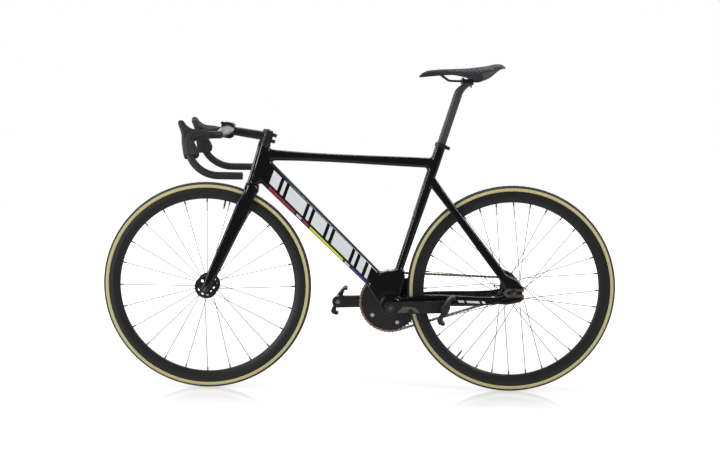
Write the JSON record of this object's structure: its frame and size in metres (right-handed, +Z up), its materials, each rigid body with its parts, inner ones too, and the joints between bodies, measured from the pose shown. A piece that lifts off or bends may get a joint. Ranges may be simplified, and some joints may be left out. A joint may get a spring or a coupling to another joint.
{
  "type": "fixed gear track bicycle",
  "caption": "Black fixed gear track bicycle with drop handlebar, tan-wall tubular tyres on deep rims and a chain drive without brakes",
  "frame": {"origin": "middle of the bounding box's underside: on the ground, in the middle plane", "axes": "+X towards the front wheel, +Y to the rider's left, +Z up"},
  "size_m": [1.644, 0.389, 1.05],
  "materials": {
    "frame_paint": "deep gloss black paint",
    "black_alloy": "black anodised aluminium",
    "crank_finish": "satin black with grey facets",
    "post_finish": "satin dark grey",
    "bar_finish": "light grey satin",
    "bar_tape": "black grip tape",
    "hood_rubber": "dark moulded rubber",
    "plug_plastic": "black plastic",
    "rim_finish": "matte black rim",
    "tyre_casing": "tan sidewall with a black tread",
    "spoke_steel": "grey steel wire",
    "bearing_steel": "ground steel",
    "bolt_steel": "dark plated steel",
    "plate_bronze": "bronze toned steel",
    "chain_steel": "brown oiled steel",
    "ring_finish": "black chainring with worn teeth",
    "saddle_leather": "matte black",
    "saddle_plastic": "black moulding",
    "rail_steel": "dark tube",
    "pedal_plastic": "black composite"
  },
  "bodies": {
    "frame": {"head_tube": "frame_paint", "frame_bearings": "bearing_steel", "bottom_bracket_shell": "frame_paint", "seat_tube": "frame_paint", "top_tube": "frame_paint", "down_tube": "frame_paint", "dropouts": "frame_paint", "dropout_plates": "plate_bronze", "axle_adjusters": "bolt_steel", "chainstays": "frame_paint", "seatstays": "frame_paint", "seat_clamp": "black_alloy", "seat_clamp_bolt": "bolt_steel", "rear_axle": "bearing_steel", "rear_axle_nuts": "bolt_steel", "chain_outer_links": "chain_steel", "chain_inner_links": "chain_steel"},
    "saddle": {"seatpost": "post_finish", "rail_clamp": "black_alloy", "rail_clamp_bolts": "bolt_steel", "saddle_cover": "saddle_leather", "saddle_base": "saddle_plastic", "saddle_rails": "rail_steel"},
    "steering": {"fork_crown": "frame_paint", "fork_blades": "frame_paint", "front_axle": "bearing_steel", "front_axle_nuts": "bolt_steel", "headset_spacer": "black_alloy", "stem": "black_alloy", "stem_faceplate": "black_alloy", "stem_bolts": "bolt_steel", "headset_top_cap": "black_alloy", "handlebar_top": "bar_finish", "handlebar_drops": "bar_tape", "hoods": "hood_rubber", "bar_end_plugs": "plug_plastic"},
    "front_wheel": {"front_hub": "black_alloy", "front_hub_bearings": "bearing_steel", "front_spokes": "spoke_steel", "front_rim": "rim_finish", "front_tyre": "tyre_casing", "front_valve": "black_alloy"},
    "rear_wheel": {"rear_hub": "black_alloy", "rear_hub_bearings": "bearing_steel", "rear_spokes": "spoke_steel", "rear_rim": "rim_finish", "rear_tyre": "tyre_casing", "rear_valve": "black_alloy", "sprocket": "chain_steel", "sprocket_lockring": "black_alloy"},
    "cranks": {"crank_spindle": "bearing_steel", "left_crank": "crank_finish", "right_crank": "crank_finish", "chainring": "ring_finish", "crank_fasteners": "bolt_steel", "pedal_spindles": "bearing_steel"},
    "left_pedal": {"left_pedal_body": "pedal_plastic"},
    "right_pedal": {"right_pedal_body": "pedal_plastic"},
    "left_latch": {"left_pedal_latch": "pedal_plastic"},
    "right_latch": {"right_pedal_latch": "pedal_plastic"}
  },
  "joints": [
    {"name": "steering", "type": "hinge", "parent": "frame", "child": "steering", "pos_m": [0.34098, 0, 0.66531], "axis": [-0.2756, 0, 0.9613], "range_deg": [-90, 90]},
    {"name": "front_wheel_spin", "type": "hinge", "parent": "steering", "child": "front_wheel", "pos_m": [0.488, 0, 0.334], "axis": [0, 1, 0], "continuous": true},
    {"name": "rear_wheel_spin", "type": "hinge", "parent": "frame", "child": "rear_wheel", "pos_m": [-0.488, 0, 0.334], "axis": [0, 1, 0], "continuous": true, "deforming": ["chain_outer_links", "chain_inner_links"]},
    {"name": "crank_spin", "type": "hinge", "parent": "frame", "child": "cranks", "pos_m": [-0.10057, 0, 0.28], "axis": [0, 1, 0], "continuous": true, "deforming": ["chain_outer_links", "chain_inner_links"]},
    {"name": "left_pedal_spin", "type": "hinge", "parent": "cranks", "child": "left_pedal", "pos_m": [-0.27047, 0.106, 0.28593], "axis": [0, 1, 0], "continuous": true},
    {"name": "right_pedal_spin", "type": "hinge", "parent": "cranks", "child": "right_pedal", "pos_m": [0.06933, -0.106, 0.27407], "axis": [0, 1, 0], "continuous": true},
    {"name": "left_latch_open", "type": "hinge", "parent": "left_pedal", "child": "left_latch", "pos_m": [-0.25935, 0.106, 0.26125], "axis": [0, -1, 0], "range_deg": [0, 15], "stiffness_Nm_per_rad": 20, "springref_deg": -5.73},
    {"name": "right_latch_open", "type": "hinge", "parent": "right_pedal", "child": "right_latch", "pos_m": [0.08044, -0.106, 0.24938], "axis": [0, -1, 0], "range_deg": [0, 15], "stiffness_Nm_per_rad": 20, "springref_deg": -5.73},
    {"name": "saddle_height", "type": "slide", "parent": "frame", "child": "saddle", "axis": [-0.3007, 0, 0.9537], "range_m": [-0.05, 0.03]}
  ],
  "couplings": [
    {"joint": "crank_spin", "follows": "rear_wheel_spin", "ratio": 0.3125}
  ]
}
